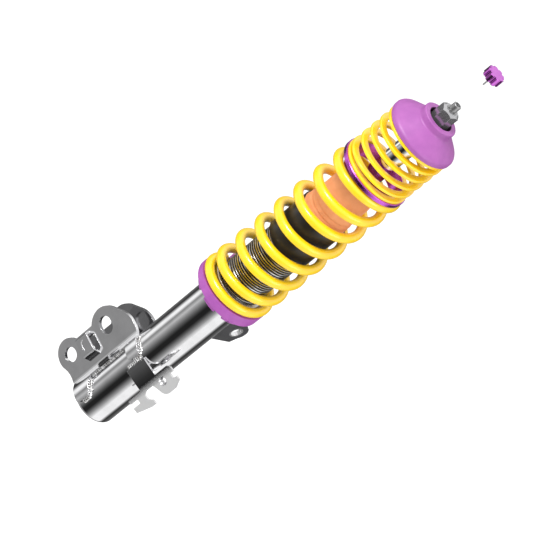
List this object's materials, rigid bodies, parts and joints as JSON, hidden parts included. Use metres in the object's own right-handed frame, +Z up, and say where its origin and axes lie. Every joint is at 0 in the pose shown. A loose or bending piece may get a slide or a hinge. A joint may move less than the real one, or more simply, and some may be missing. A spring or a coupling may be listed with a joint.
{
  "type": "coilover strut",
  "caption": "Threaded two-bolt suspension strut with coil spring, flat-wire helper spring, adjustable lower perch, upper seat, bump stop, hose bracket, link tab and rebound knob.",
  "frame": {"origin": "centre of the strut tube's closed bottom end", "axes": "+Z up the strut axis to the rod end; -X towards the steering knuckle; Y along the knuckle bolts, -Y on the side of the line strap and hose bracket"},
  "size_m": [0.1214, 0.1152, 0.6043],
  "materials": {
    "polished_stainless": "mirror-polished stainless steel",
    "plain_steel": "turned steel",
    "zinc_plate": "bright zinc plate",
    "weld_metal": "bright weld bead",
    "hard_chrome": "hard chrome",
    "sintered_iron": "sintered iron",
    "plain_aluminium": "turned aluminium",
    "bronze": "bearing bronze",
    "black_rubber": "nitrile rubber",
    "slide_band": "filled PTFE",
    "black_paint": "satin black paint",
    "yellow_powder_coat": "glossy yellow powder coat",
    "purple_anodised": "purple anodised",
    "purple_composite": "satin purple composite",
    "lavender_composite": "satin lavender composite",
    "salmon_elastomer": "matte microcellular elastomer",
    "black_plastic": "satin black plastic"
  },
  "bodies": {
    "strut": {"strut_tube": "polished_stainless", "base_cap": "polished_stainless", "inner_cylinder": "plain_steel", "base_valve": "sintered_iron", "base_valve_shims": "plain_steel", "rod_guide": "plain_aluminium", "guide_bush": "bronze", "rod_seal": "black_rubber", "gland_nut": "plain_steel", "clevis_plate_front": "polished_stainless", "clevis_plate_rear": "polished_stainless", "clevis_welds": "weld_metal", "line_strap": "polished_stainless", "hose_bracket": "polished_stainless", "hose_bracket_nut": "plain_steel", "hose_bracket_weld": "weld_metal", "stabiliser_tab": "black_paint", "stabiliser_tab_welds": "black_paint"},
    "spring": {"main_spring": "yellow_powder_coat"},
    "perch": {"perch_collar": "purple_composite", "perch_insert": "plain_steel", "perch_lock_screw": "plain_steel"},
    "separator": {"spring_separator": "purple_anodised", "helper_spring": "yellow_powder_coat"},
    "upper_seat": {"upper_spring_seat": "lavender_composite"},
    "rod": {"piston_rod": "hard_chrome", "rod_nut": "zinc_plate", "seat_washer": "zinc_plate", "piston": "sintered_iron", "piston_band": "slide_band", "piston_shims": "plain_steel", "piston_nut": "zinc_plate", "rebound_stop": "plain_steel"},
    "bump": {"bump_stop": "salmon_elastomer", "dust_tube": "black_plastic"},
    "adjuster": {"rebound_adjuster": "plain_aluminium"},
    "knob": {"adjuster_knob": "purple_anodised", "knob_key": "plain_steel"}
  },
  "joints": [
    {"name": "perch_turn", "type": "hinge", "parent": "spring", "child": "perch", "pos_m": [0, 0, 0.227], "axis": [0, 0, 1], "range_deg": [0, 2161]},
    {"name": "perch_height", "type": "slide", "parent": "strut", "child": "spring", "axis": [0, 0, 1], "range_m": [0, 0.018]},
    {"name": "damper_stroke", "type": "slide", "parent": "spring", "child": "separator", "axis": [0, 0, -1], "range_m": [0, 0.024], "stiffness_N_per_m": 40000, "springref_m": -0.002, "deforming": ["main_spring"]},
    {"name": "helper_squash", "type": "slide", "parent": "separator", "child": "upper_seat", "axis": [0, 0, -1], "range_m": [0, 0.03601], "deforming": ["helper_spring"]},
    {"name": "rod_turn", "type": "hinge", "parent": "upper_seat", "child": "rod", "pos_m": [0, 0, 0.521], "axis": [0, 0, 1], "range_deg": [-40, 40]},
    {"name": "bump_stop_slide", "type": "slide", "parent": "strut", "child": "bump", "axis": [0, 0, 1], "range_m": [0, 0.02]},
    {"name": "rebound_adjust", "type": "hinge", "parent": "rod", "child": "adjuster", "pos_m": [0, 0, 0.55], "axis": [0, 0, 1], "range_deg": [0, 720]},
    {"name": "knob_plug_in", "type": "slide", "parent": "adjuster", "child": "knob", "axis": [0, 0, 1], "range_m": [-0.0427, 0]}
  ],
  "couplings": [
    {"joint": "perch_turn", "follows": "perch_height", "rad_per_m": 2094.4},
    {"joint": "helper_squash", "follows": "damper_stroke", "ratio": 1.5}
  ]
}
